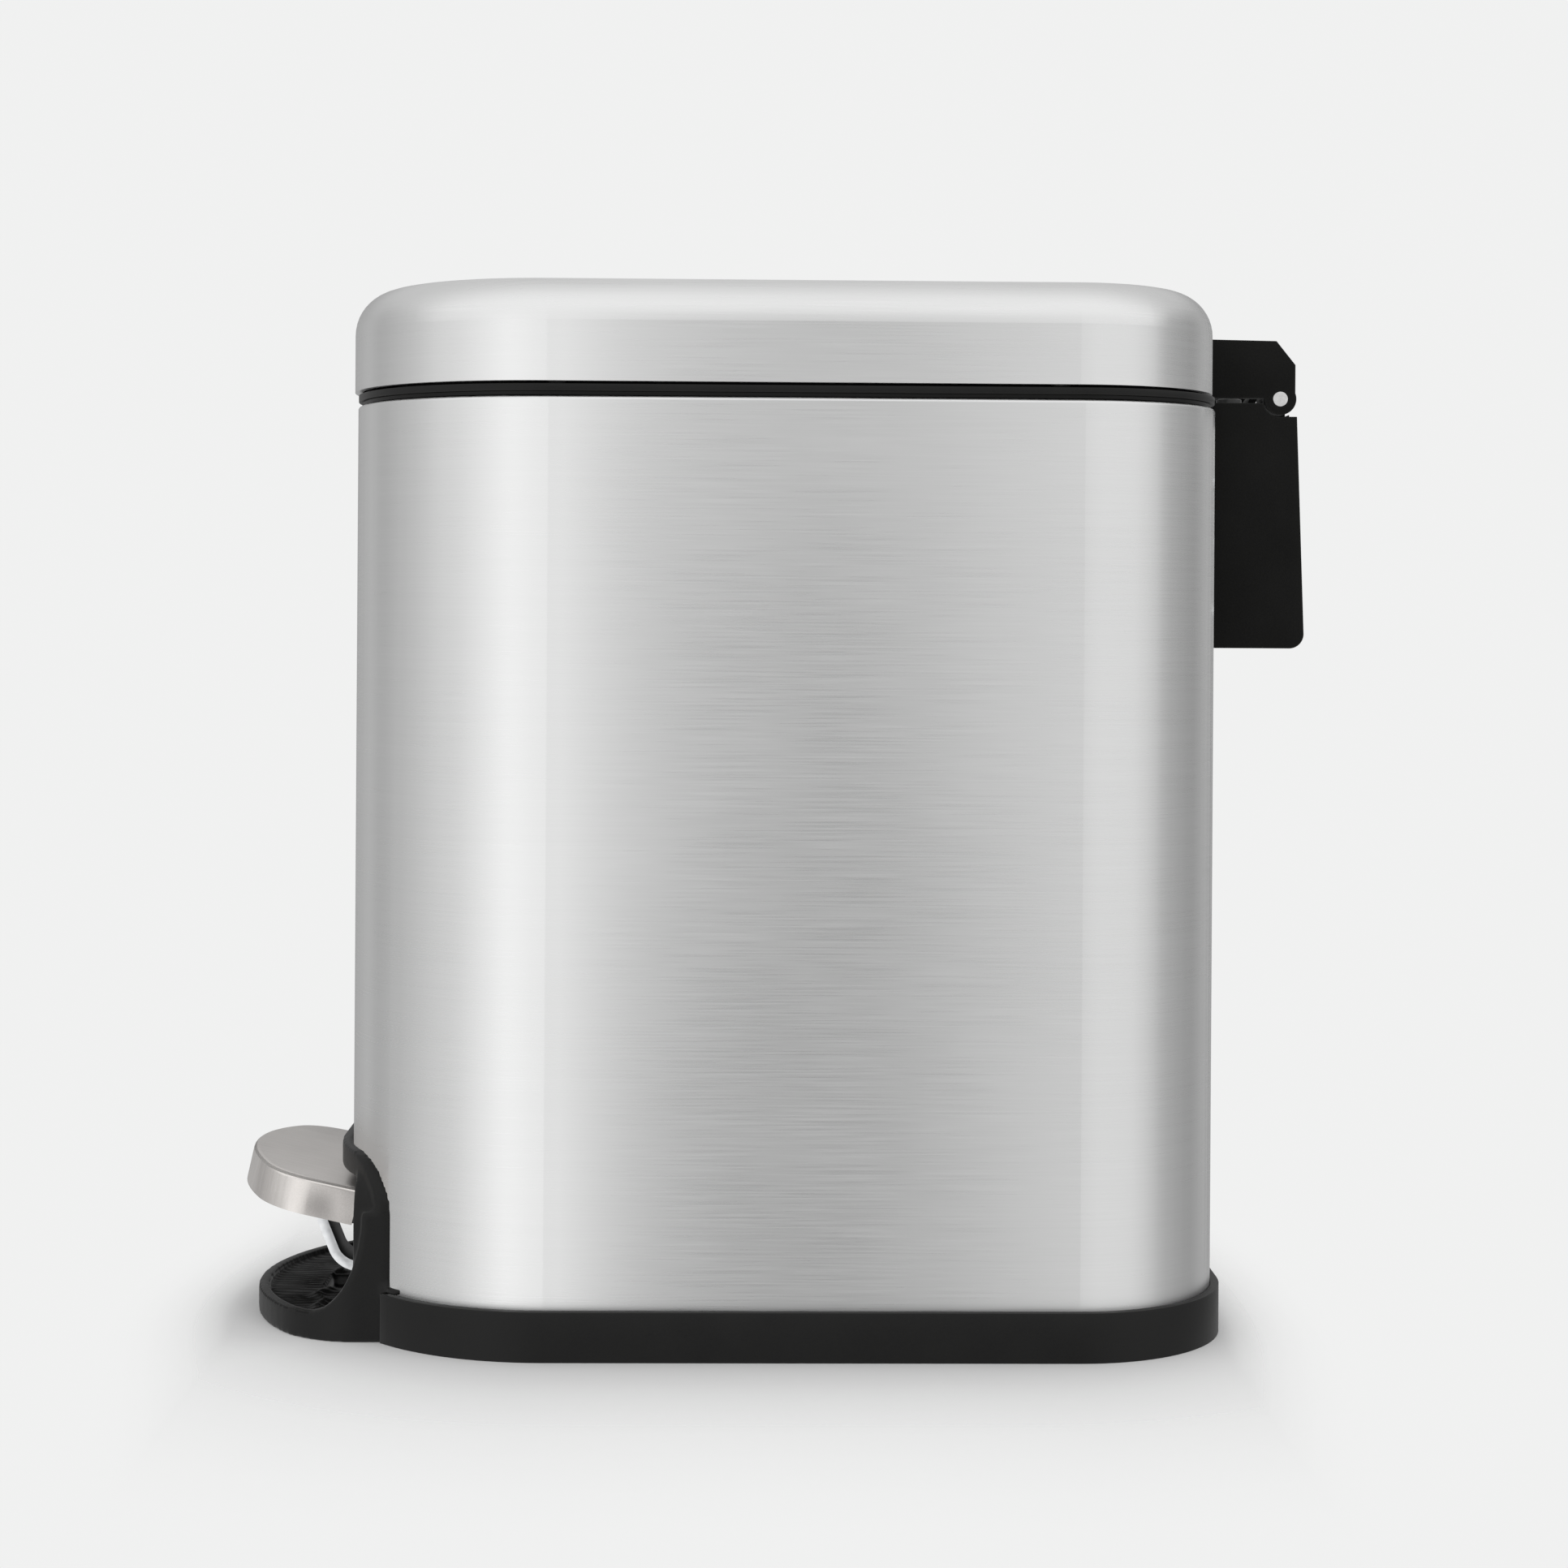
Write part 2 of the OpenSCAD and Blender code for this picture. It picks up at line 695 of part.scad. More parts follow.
module pedal_rivets() {
    color("#b8b8b8") on_pedal() for (s = [-1, 1]) translate([rivet_x, s * 4, 0]) {
        translate([0, 0, -7.6]) cylinder(r = 1.5, h = 7.6 - pedal_sheet - 0.3);
        translate([0, 0, -8.2]) cylinder(r = 2.6, h = 1.18);
    }
}

// centre of the lever's knee, and where its sloping leg ends
knee_x = front_x + 0.8;
knee_bend = 9;
leg_rise = 68;
leg_length = 23.6;
flange_drop = 4.2;
rivet_x = 12;

function turned(p, a) = [p[0] * cos(a) - p[1] * sin(a), p[0] * sin(a) + p[1] * cos(a)];

// side outline of the lever, X across and Z up
module lever_profile() {
    knee = [knee_x, lever_bottom + knee_bend];
    inner = knee_bend - lever_thick;
    tail_x = rear_x - 5.5;
    polygon(concat(
        [knee + turned([-leg_length, -knee_bend], -leg_rise)],
        arc_points(knee[0], knee[1], knee_bend, 270 - leg_rise, 270, 12, 0),
        [[tail_x, lever_bottom], [tail_x, lever_top]],
        arc_points(knee[0], knee[1], inner, 270, 270 - leg_rise, 12, 0),
        [knee + turned([-leg_length, -inner], -leg_rise)]
    ));
    translate([pedal_ref_x, pedal_ref_z]) rotate(-pedal_slope)
        translate([0.3, -flange_drop - lever_thick]) square([17.7, lever_thick]);
}

module pedal_lever() {
    w = lever_width / 2;
    color("#c9c9c8") difference() {
        union() {
            side_plate(-w, w) lever_profile();
            y_rod(pivot_x, pivot_z, pivot_hub, w);
        }
        y_rod(pivot_x, pivot_z, pivot_radius + turn_clear, 30);
        on_pedal() for (s = [-1, 1]) translate([rivet_x, s * 4, -9]) cylinder(r = 1.55, h = 9);
    }
}

module lever_pin() {
    color("#cfd0d1") y_rod(pivot_x, pivot_z, pivot_radius, rib_y + 4);
}

body_shell();
top_collar();
base_pan();
base_cover();
cover_screws();
rubber_feet();
pedal_surround();
inner_bucket();
bucket_bail();
bail_grip();
lid_shell();
lid_liner();
lid_bumpers();
hinge_bracket();
bracket_screws();
hinge_housing();
housing_screws();
hinge_pin();
push_rod();
rod_cap();
rod_foot();
rod_guide();
guide_screws();
pedal_cap();
pedal_core();
pedal_rivets();
pedal_lever();
lever_pin();
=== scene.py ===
import math
import bpy
from mathutils import Matrix, Vector, noise


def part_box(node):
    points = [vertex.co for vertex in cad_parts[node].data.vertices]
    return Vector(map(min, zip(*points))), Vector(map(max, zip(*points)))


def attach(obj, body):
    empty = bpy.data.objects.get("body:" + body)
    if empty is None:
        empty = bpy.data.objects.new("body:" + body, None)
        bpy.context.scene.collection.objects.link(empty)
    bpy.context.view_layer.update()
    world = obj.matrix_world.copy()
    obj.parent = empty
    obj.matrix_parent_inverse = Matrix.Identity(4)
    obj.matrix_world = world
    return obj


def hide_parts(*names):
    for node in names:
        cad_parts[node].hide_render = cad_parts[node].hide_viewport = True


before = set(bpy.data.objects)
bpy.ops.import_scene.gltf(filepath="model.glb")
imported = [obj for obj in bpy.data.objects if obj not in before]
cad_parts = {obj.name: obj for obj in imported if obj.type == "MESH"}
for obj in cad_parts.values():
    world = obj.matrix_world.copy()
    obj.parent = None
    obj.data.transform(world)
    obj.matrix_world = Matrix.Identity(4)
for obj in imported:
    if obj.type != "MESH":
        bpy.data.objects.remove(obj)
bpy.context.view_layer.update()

mm = 0.001


def freeSelection():
    if bpy.context.object and bpy.context.object.mode != "OBJECT":
        bpy.ops.object.mode_set(mode="OBJECT")
    bpy.ops.object.select_all(action="DESELECT")


def holdOnly(piece):
    freeSelection()
    piece.hide_set(False)
    piece.select_set(True)
    bpy.context.view_layer.objects.active = piece


def pickEdges(piece, wanted):
    # wanted gets both ends of an edge, and the mesh stays in edit mode with the picked edges selected
    holdOnly(piece)
    bpy.ops.object.mode_set(mode="EDIT")
    bpy.ops.mesh.select_mode(type="EDGE")
    bpy.ops.mesh.select_all(action="DESELECT")
    bpy.ops.object.mode_set(mode="OBJECT")
    points = piece.data.vertices
    for edge in piece.data.edges:
        edge.select = bool(wanted(*(points[i].co for i in edge.vertices)))
    bpy.ops.object.mode_set(mode="EDIT")


def applyModifier(piece, kind, **settings):
    holdOnly(piece)
    added = piece.modifiers.new(kind.title(), kind)
    for key, value in settings.items():
        setattr(added, key, value)
    bpy.ops.object.modifier_apply(modifier=added.name)


def smoothShade(piece, degrees):
    holdOnly(piece)
    bpy.ops.object.shade_smooth_by_angle(angle=math.radians(degrees))


def dress(piece, finish, body):
    piece.data.materials.clear()
    piece.data.materials.append(finish)
    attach(piece, body)


merging = {"distance": 0.004 * mm, "flatAngle": 1.0}


def mergedCopy(nodeName, pieceName):
    # the CAD mesh comes as loose triangles, so it is merged and its flat faces are joined
    piece = bpy.data.objects.new(pieceName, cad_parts[nodeName].data.copy())
    bpy.context.scene.collection.objects.link(piece)
    holdOnly(piece)
    bpy.ops.object.mode_set(mode="EDIT")
    bpy.ops.mesh.select_all(action="SELECT")
    bpy.ops.mesh.remove_doubles(threshold=merging["distance"])
    bpy.ops.mesh.dissolve_limited(angle_limit=math.radians(merging["flatAngle"]))
    bpy.ops.mesh.customdata_custom_splitnormals_clear()
    bpy.ops.object.mode_set(mode="OBJECT")
    return piece


def bevelEdges(piece, width, degrees):
    applyModifier(piece, "BEVEL", width=width * mm, segments=2, limit_method="ANGLE",
                  angle_limit=math.radians(degrees))


class Wire:
    # the output of a node: sums that are written with it add Math nodes
    def __init__(self, nodes, socket):
        self.nodes = nodes
        self.socket = socket

    def __add__(self, other):
        return self.nodes.maths("ADD", self, other)

    def __radd__(self, other):
        return self.nodes.maths("ADD", other, self)

    def __sub__(self, other):
        return self.nodes.maths("SUBTRACT", self, other)

    def __rsub__(self, other):
        return self.nodes.maths("SUBTRACT", other, self)

    def __mul__(self, other):
        return self.nodes.maths("MULTIPLY", self, other)

    def __rmul__(self, other):
        return self.nodes.maths("MULTIPLY", other, self)

    def __abs__(self):
        return self.nodes.maths("ABSOLUTE", self)


class Nodes:
    def __init__(self, tree):
        self.tree = tree

    def node(self, kind, settings=None, inputs=None, out=0):
        made = self.tree.nodes.new(kind)
        for key, value in (settings or {}).items():
            if key == "stops":
                self.setStops(made.color_ramp, value)
            else:
                setattr(made, key, value)
        for key, value in (inputs or {}).items():
            self.feed(made.inputs[key], value)
        return Wire(self, made.outputs[out])

    def setStops(self, ramp, stops):
        while len(ramp.elements) < len(stops):
            ramp.elements.new(1.0)
        for element, (position, grey) in zip(ramp.elements, stops):
            element.position = position
            element.color = (grey, grey, grey, 1.0)

    def feed(self, socket, value):
        if isinstance(value, Wire):
            self.tree.links.new(value.socket, socket)
        else:
            socket.default_value = value

    def maths(self, operation, first, second=0.0):
        return self.node("ShaderNodeMath", {"operation": operation}, {0: first, 1: second})

    def ranged(self, value, low, high, newLow=0.0, newHigh=1.0):
        return self.node("ShaderNodeMapRange", {}, {0: value, 1: low, 2: high, 3: newLow, 4: newHigh})

    def mixed(self, share, first, second):
        return self.node("ShaderNodeMix", {"data_type": "RGBA"}, {0: share, 6: first, 7: second}, out=2)

    def greys(self, where, stops):
        return self.node("ShaderNodeValToRGB", {"stops": stops}, {0: where})

    def along(self, axis, vector):
        return self.node("ShaderNodeSeparateXYZ", {}, {0: vector}, out=axis)


class Finish(Nodes):
    def __init__(self, name, **shader):
        self.material = bpy.data.materials.new(name)
        self.material.use_nodes = True
        super().__init__(self.material.node_tree)
        self.shader = self.tree.nodes["Principled BSDF"]
        self.give(**shader)
        self.place = self.node("ShaderNodeTexCoord", out="Object")

    def give(self, **values):
        for key, value in values.items():
            self.feed(self.shader.inputs[key.replace("_", " ")], value)

    def stretched(self, *scale):
        return self.node("ShaderNodeMapping", {}, {"Vector": self.place, "Scale": scale})

    def noise(self, where, scale, detail=2.0, rough=0.5):
        return self.node("ShaderNodeTexNoise", {}, {"Vector": where, "Scale": scale, "Detail": detail,
                                                    "Roughness": rough})

    def upwards(self):
        # 1 where the surface faces straight up or down, 0 where it stands upright
        return abs(self.along("Z", self.node("ShaderNodeTexCoord", out="Normal")))

    def bumped(self, height, strength=1.0, distance=1.0):
        self.give(Normal=self.node("ShaderNodeBump", {}, {"Height": height, "Strength": strength,
                                                           "Distance": distance}))

    def edgeWear(self, radius):
        # 1 on worn outer edges and 0 elsewhere, from how far a bevelled normal leans off the true one
        soft = self.node("ShaderNodeBevel", {"samples": 4}, {"Radius": radius})
        true = self.node("ShaderNodeNewGeometry", out="Normal")
        lean = self.node("ShaderNodeVectorMath", {"operation": "DOT_PRODUCT"}, {0: soft, 1: true},
                         out="Value")
        return self.ranged(lean, 0.99, 0.90)


steelLook = {
    "dark": (0.598, 0.60, 0.598, 1), "light": (0.652, 0.654, 0.652, 1),
    "grainRun": 30.0, "grainAcross": 2400.0, "grainDepth": 0.0022 * mm,
    "wideRun": 3.0, "wideAcross": 500.0,
    "smoothest": 0.25, "roughest": 0.36, "streaking": 0.88, "quarterTurn": 0.25,
    "bow": 0.8, "rearBow": 12.0, "frontBow": 13600.0, "frontFlat": 0.058,
}


def sheetBow(steel):
    # how far the long sides fall back from a true plane, so that the room's light spreads over them:
    # a slow curve, quicker near the ends, that runs on straight round the front corners
    bow, frontBow, flat = steelLook["bow"], steelLook["frontBow"], steelLook["frontFlat"]
    along = steel.along("X", steel.place)
    rear = steel.maths("MAXIMUM", along, 0.0)
    front = steel.maths("MAXIMUM", along * -1.0, 0.0)
    held = steel.maths("MINIMUM", front, flat)
    heldSquare = held * held
    rearDrop = rear * rear * (rear * rear * steelLook["rearBow"] + 0.5 * bow)
    frontDrop = heldSquare * (heldSquare * heldSquare * frontBow + 0.5 * bow)
    cornerDrop = (front - held) * (bow * flat + 6 * frontBow * flat ** 5)
    return rearDrop + frontDrop + cornerDrop


def brushedSteel():
    # sheet brushed along its length: long streaks that are fine across the grain
    steel = Finish("body_brushed_steel", Metallic=1.0, Anisotropic=steelLook["streaking"],
                   Anisotropic_Rotation=steelLook["quarterTurn"])
    run, across = steelLook["grainRun"], steelLook["grainAcross"]
    onTop = steel.ranged(steel.upwards(), 0.62, 0.74)
    wall = steel.noise(steel.stretched(run, run, across), 1.0, 3.0, 0.6)
    top = steel.noise(steel.stretched(run, across, run), 1.0, 3.0, 0.6)
    grain = wall * (1 - onTop) + top * onTop
    wideRun, wideAcross = steelLook["wideRun"], steelLook["wideAcross"]
    wide = steel.noise(steel.stretched(wideRun, wideRun, wideAcross), 1.0)
    cloud = steel.noise(steel.place, 14.0, 3.0)
    tone = steel.ranged(grain * 0.5 + wide * 0.12 + cloud * 0.38, 0.3, 0.7)
    steel.give(Base_Color=steel.mixed(tone, steelLook["dark"], steelLook["light"]))
    steel.give(Roughness=steel.ranged(grain * 0.7 + cloud * 0.3, 0.35, 0.65,
                                      steelLook["smoothest"], steelLook["roughest"]))
    steel.bumped(grain * steelLook["grainDepth"] - sheetBow(steel))
    return steel.material


pedalLook = {
    "dark": (0.53, 0.505, 0.485, 1), "light": (0.62, 0.595, 0.575, 1),
    "speckScale": 2600.0, "brushing": (60, 1400, 60), "dentScale": 38.0,
    "smoothest": 0.30, "roughest": 0.38, "skirtShine": 0.15,
    "dentDepth": 4.2 * mm, "grainDepth": 0.004 * mm,
}


def satinPedal():
    satin = Finish("pedal_satin_steel", Metallic=1.0)
    speck = satin.noise(satin.place, pedalLook["speckScale"], 2.0, 0.6)
    dent = satin.noise(satin.place, pedalLook["dentScale"], 1.0, 0.4)
    brushing = satin.noise(satin.stretched(*pedalLook["brushing"]), 1.0)
    cloud = satin.noise(satin.place, 45.0, 3.0, 0.55)
    skirt = satin.ranged(satin.upwards(), 0.9, 0.5)
    tone = satin.ranged(speck * 0.35 + brushing * 0.35 + cloud * 0.3, 0.36, 0.64)
    rough = satin.ranged(cloud * 0.6 + speck * 0.4, 0.3, 0.7, pedalLook["smoothest"], pedalLook["roughest"])
    satin.give(Base_Color=satin.mixed(tone, pedalLook["dark"], pedalLook["light"]))
    satin.give(Roughness=rough - skirt * pedalLook["skirtShine"])
    # the pressing is slightly uneven, so its skirt shows soft light and dark patches
    fine = (speck * 0.6 + brushing * 0.4) * pedalLook["grainDepth"]
    satin.bumped(dent * skirt * pedalLook["dentDepth"] + fine)
    return satin.material


blacks = {
    "moulded_black": {"dark": (0.0045, 0.0045, 0.0045, 1), "light": (0.008, 0.008, 0.0076, 1),
                      "rough": 0.42, "gloss": 0.17, "grain": 3000.0, "bump": 0.25},
    "hinge_black": {"dark": (0.0065, 0.0065, 0.0062, 1), "light": (0.0105, 0.0105, 0.01, 1),
                    "rough": 0.5, "gloss": 0.03, "grain": 2400.0, "bump": 0.4},
    "plate_black": {"dark": (0.006, 0.006, 0.006, 1), "light": (0.010, 0.010, 0.0095, 1),
                    "rough": 0.5, "gloss": 0.08, "grain": 3000.0, "bump": 0.25},
    "bucket_black": {"dark": (0.012, 0.012, 0.0125, 1), "light": (0.019, 0.019, 0.0195, 1),
                     "rough": 0.38, "gloss": 0.4, "grain": 1600.0, "bump": 0.15},
    "guide_nylon": {"dark": (0.02, 0.02, 0.02, 1), "light": (0.035, 0.035, 0.034, 1),
                    "rough": 0.34, "gloss": 0.4, "grain": 1200.0, "bump": 0.1},
}


wear = {"radius": 0.8 * mm, "share": 0.45, "paling": 1.9, "shine": 0.15, "grainDepth": 0.06 * mm}


def mouldedBlack(name):
    look = blacks[name]
    black = Finish(name, Specular_IOR_Level=look["gloss"])
    fine = black.noise(black.place, look["grain"], 2.0, 0.55)
    cloud = black.noise(black.place, 60.0, 3.0)
    worn = black.edgeWear(wear["radius"])
    tone = black.ranged(fine * 0.55 + cloud * 0.45, 0.3, 0.7)
    rubbed = tuple(wear["paling"] * c for c in look["light"][:3]) + (1,)
    body = black.mixed(tone, look["dark"], look["light"])
    black.give(Base_Color=black.mixed(worn * wear["share"], body, rubbed))
    black.give(Roughness=black.ranged(fine * 0.5 + cloud * 0.5 - worn * wear["shine"], 0.3, 0.7,
                                      look["rough"] - 0.06, look["rough"] + 0.08))
    black.bumped(fine, look["bump"], wear["grainDepth"])
    return black.material


zincLook = {
    "dark": (0.52, 0.53, 0.54, 1), "light": (0.70, 0.71, 0.72, 1),
    "cellScale": 700.0, "drawn": (12, 900, 900),
    "smoothest": 0.24, "roughest": 0.42, "bump": 0.15, "depth": 0.05 * mm,
}


def platedZinc():
    zinc = Finish("zinc_plate", Metallic=1.0)
    cells = zinc.node("ShaderNodeTexVoronoi", {}, {"Vector": zinc.place, "Scale": zincLook["cellScale"]},
                      out="Distance")
    drawn = zinc.noise(zinc.stretched(*zincLook["drawn"]), 1.0)
    cloud = zinc.noise(zinc.place, 90.0, 3.0)
    tone = zinc.ranged(cells * 0.3 + drawn * 0.4 + cloud * 0.3, 0.2, 0.7)
    zinc.give(Base_Color=zinc.mixed(tone, zincLook["dark"], zincLook["light"]))
    zinc.give(Roughness=zinc.ranged(cloud * 0.5 + drawn * 0.5, 0.3, 0.7,
                                    zincLook["smoothest"], zincLook["roughest"]))
    zinc.bumped(drawn, zincLook["bump"], zincLook["depth"])
    return zinc.material


wireLook = {
    "dark": (0.60, 0.60, 0.60, 1), "light": (0.76, 0.76, 0.75, 1), "grain": (500, 500, 500),
    "smoothest": 0.16, "roughest": 0.28, "bump": 0.1, "depth": 0.04 * mm,
}


def drawnWire():
    wire = Finish("bright_wire", Metallic=1.0)
    ring = wire.noise(wire.stretched(*wireLook["grain"]), 1.0, 3.0, 0.6)
    cloud = wire.noise(wire.place, 70.0)
    tone = wire.ranged(ring * 0.5 + cloud * 0.5, 0.3, 0.7)
    wire.give(Base_Color=wire.mixed(tone, wireLook["dark"], wireLook["light"]))
    wire.give(Roughness=wire.ranged(ring, 0.3, 0.7, wireLook["smoothest"], wireLook["roughest"]))
    wire.bumped(ring, wireLook["bump"], wireLook["depth"])
    return wire.material


rubberLook = {
    "dark": (0.022, 0.022, 0.022, 1), "light": (0.045, 0.045, 0.044, 1), "dustScale": 900.0,
    "smoothest": 0.72, "roughest": 0.86, "bump": 0.35, "depth": 0.08 * mm,
}


def softRubber():
    rubber = Finish("foot_rubber")
    dust = rubber.noise(rubber.place, rubberLook["dustScale"], 4.0, 0.6)
    cloud = rubber.noise(rubber.place, 120.0)
    tone = rubber.ranged(dust * 0.5 + cloud * 0.5, 0.3, 0.7)
    rubber.give(Base_Color=rubber.mixed(tone, rubberLook["dark"], rubberLook["light"]))
    rubber.give(Roughness=rubber.ranged(dust, 0.3, 0.7, rubberLook["smoothest"], rubberLook["roughest"]))
    rubber.bumped(dust, rubberLook["bump"], rubberLook["depth"])
    return rubber.material


bodySteel = brushedSteel()
pedalSteel = satinPedal()
blackPlastic = mouldedBlack("moulded_black")
hingePlastic = mouldedBlack("hinge_black")
floorPlastic = mouldedBlack("plate_black")
bucketPlastic = mouldedBlack("bucket_black")
nylonPlastic = mouldedBlack("guide_nylon")
zincPlate = platedZinc()
brightWire = drawnWire()
rubberPad = softRubber()
print("finishes made")

# pieces whose CAD shape is right keep their mesh and get a finish
kept = {
    "body_shell": bodySteel, "lid_shell": bodySteel, "cover_screws": zincPlate,
    "bracket_screws": zincPlate, "housing_screws": zincPlate, "guide_screws": zincPlate,
    "hinge_pin": brightWire, "push_rod": brightWire, "lever_pin": brightWire,
    "pedal_rivets": brightWire, "bucket_bail": brightWire, "rubber_feet": rubberPad,
    "lid_bumpers": rubberPad,
}
for nodeName, finish in kept.items():
    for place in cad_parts[nodeName].material_slots:
        place.material = finish
print("plain pieces finished")

sharpAngle = 35  # degrees between faces, from which a moulded edge is bevelled and stays visible

# moulded pieces get soft edges: finish, body, slot and bevel in mm
moulded = {
    "top_collar": (blackPlastic, "bin", "plastic", 0.45),
    "base_pan": (blackPlastic, "bin", "plastic", 0.7),
    "base_cover": (blackPlastic, "bin", "plastic", 0.4),
    "hinge_housing": (hingePlastic, "bin", "plastic", 0.5),
    "rod_guide": (nylonPlastic, "bin", "nylon", 0.3),
    "hinge_bracket": (hingePlastic, "lid", "plastic", 0.5),
    "lid_liner": (blackPlastic, "lid", "plastic", 0.3),
    "inner_bucket": (bucketPlastic, "bucket", "bucket", 0.6),
    "bail_grip": (blackPlastic, "bail", "plastic", 0.4),
    "pedal_core": (blackPlastic, "treadle", "plastic", 0.3),
    "rod_cap": (nylonPlastic, "rod", "nylon", 0.4),
    "rod_foot": (nylonPlastic, "rod", "nylon", 0.4),
}
for nodeName, (finish, body, slot, bevel) in moulded.items():
    piece = mergedCopy(nodeName, nodeName + "_moulded")
    bevelEdges(piece, bevel, sharpAngle)
    smoothShade(piece, sharpAngle)
    dress(piece, finish, body)
    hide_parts(nodeName)
    # the blurred steel beside the hinge shows no dark mirror image of it
    piece.visible_glossy = not nodeName.startswith("hinge")
print("moulded pieces softened")

# pressed sheet with a generous round along its top edge; the slope is in degrees
pedal = {"reference": (-133.5, 43.2), "slope": 12.4, "round": 1.4, "steps": 5, "rearMargin": 0.3,
         "onTop": 0.05, "smoothTo": 40}


def pedalFlat():
    # carries the sloping pedal to lie flat with its top face at zero height
    x, z = pedal["reference"]
    turn = Matrix.Rotation(math.radians(-pedal["slope"]), 4, "Y")
    return turn @ Matrix.Translation((-x * mm, 0, -z * mm))


def makePedal():
    piece = mergedCopy("pedal_cap", "pedal_pressing")
    piece.data.transform(pedalFlat())
    rear = max(point.co.x for point in piece.data.vertices) - pedal["rearMargin"] * mm
    reach = pedal["onTop"] * mm
    pickEdges(piece, lambda a, b: max(abs(a.z), abs(b.z)) < reach and min(a.x, b.x) < rear)
    bpy.ops.mesh.bevel(offset=pedal["round"] * mm, segments=pedal["steps"], profile=0.5, clamp_overlap=True)
    bpy.ops.object.mode_set(mode="OBJECT")
    piece.data.transform(pedalFlat().inverted())
    smoothShade(piece, pedal["smoothTo"])
    dress(piece, pedalSteel, "treadle")
    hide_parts("pedal_cap")


makePedal()
print("pedal pressed")

# foot plate and arch, one soft-edged moulding with a rippled floor; sizes in mm
foot = {
    "voxel": 0.65, "soften": 8, "floorHeight": 5.2, "floorDepth": 0.35, "level": 0.8, "floorRear": 10,
    "fade": 8, "lift": 0.15, "blackTo": 2, "blackLevel": 0.4,
    "ribPitch": 2.7, "ribHeight": 0.3, "foldHeight": 1.0, "foldWidth": 1.6, "foldPlace": -7,
    "troughHalf": 10.2, "troughFront": -8.2,
}


def waver(x, y, layer):
    return noise.noise(Vector((x, y, layer)))


def rippleHeight(x, y, foldPlace):
    # narrow wavering ribs run front to back, and one fold crosses them
    sway = waver(x / 17, y / 13, 0) * 3.4 + waver(x / 6, y / 9, 4) * 1.1
    ribs = math.sin((y + sway) * math.tau / foot["ribPitch"]) * foot["ribHeight"]
    foldX = foldPlace + waver(y / 11, 7, 0) * 7
    fold = math.exp(-((x - foldX) / foot["foldWidth"]) ** 2) * foot["foldHeight"]
    return ribs * (0.65 + 0.5 * waver(x / 9, y / 7, 9)) + fold


def makeFoot():
    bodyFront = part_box("body_shell")[0].x / mm
    floorTop, floorRear = foot["floorHeight"], bodyFront + foot["floorRear"]
    piece = mergedCopy("pedal_surround", "foot_plate_and_arch")
    applyModifier(piece, "REMESH", mode="VOXEL", voxel_size=foot["voxel"] * mm, use_smooth_shade=True)
    applyModifier(piece, "SMOOTH", factor=0.5, iterations=foot["soften"])
    for point in piece.data.vertices:
        x, y, z = (c / mm for c in point.co)
        if x > floorRear or abs(z - floorTop) > foot["floorDepth"] or point.normal.z < foot["level"]:
            continue
        if abs(y) < foot["troughHalf"] and x > bodyFront + foot["troughFront"]:
            continue
        room = min(1.0, max(0.0, (floorRear - x) / foot["fade"]))
        point.co.z += (rippleHeight(x, y, bodyFront + foot["foldPlace"]) + foot["lift"]) * room * mm
    dress(piece, blackPlastic, "bin")
    piece.visible_glossy = False  # the steel beside it shows no dark mirror image either
    piece.data.materials.append(floorPlastic)
    for face in piece.data.polygons:
        low = face.center.z < (floorTop + foot["blackTo"]) * mm and face.center.x < floorRear * mm
        face.material_index = int(low and face.normal.z > foot["blackLevel"])
    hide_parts("pedal_surround")
    print("foot plate has", len(piece.data.polygons), "faces")


makeFoot()

# black strip under the pedal with bright sheared edges; bevel in mm
lever = {"edge": 0.3, "bevelFrom": 50, "smoothTo": 40, "sideways": 0.3}


def makeLever():
    piece = mergedCopy("pedal_lever", "pedal_strip")
    bevelEdges(piece, lever["edge"], lever["bevelFrom"])
    smoothShade(piece, lever["smoothTo"])
    dress(piece, blackPlastic, "treadle")
    piece.data.materials.append(zincPlate)
    for face in piece.data.polygons:
        face.material_index = int(abs(face.normal.y) > lever["sideways"])
    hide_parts("pedal_lever")


makeLever()
print("foot and lever made")

# the floor shows only as a painted shadow round the foot: a darkened floor colour whose share falls off by
# distance, as a part of its reach; the lamps' real shade on it adds to this
floorShadowLook = {
    # dark and light are the paper's fibre tones, kept dark so that the floor near the foot paints the
    # shadow
    "dark": (0.565, 0.565, 0.565, 1), "light": (0.575, 0.575, 0.575, 1), "size": 3.0, "reach": 0.16,
    "baseCore": (0.058, 0.006), "baseRound": 0.062, "plateMiddle": -0.118, "plateRound": 0.030,
    "middle": -0.015, "halfLength": 0.133, "endFade": 3.5,
    "share": [(0.0, 1.0), (0.106, 0.89), (0.21, 0.62), (0.41, 0.27), (0.55, 0.15), (0.7, 0.06),
              (0.85, 0.015), (1.0, 0.0)],
}


def footDistance(paper):
    # distance from the rounded base, or from the round foot plate where that is nearer; it shapes the
    # painted shadow
    x, y = (paper.along(axis, paper.place) for axis in "XY")
    overX, overY = (paper.maths("MAXIMUM", abs(side) - half, 0.0)
                    for side, half in zip((x, y), floorShadowLook["baseCore"]))
    base = paper.maths("SQRT", overX * overX + overY * overY) - floorShadowLook["baseRound"]
    ahead = x - floorShadowLook["plateMiddle"]
    plate = paper.maths("SQRT", ahead * ahead + y * y) - floorShadowLook["plateRound"]
    # the painted shadow fades faster past the two ends
    past = paper.maths("MAXIMUM", abs(x - floorShadowLook["middle"]) - floorShadowLook["halfLength"], 0.0)
    nearest = paper.maths("MINIMUM", base, plate)
    return paper.maths("MAXIMUM", nearest + past * floorShadowLook["endFade"], 0.0)


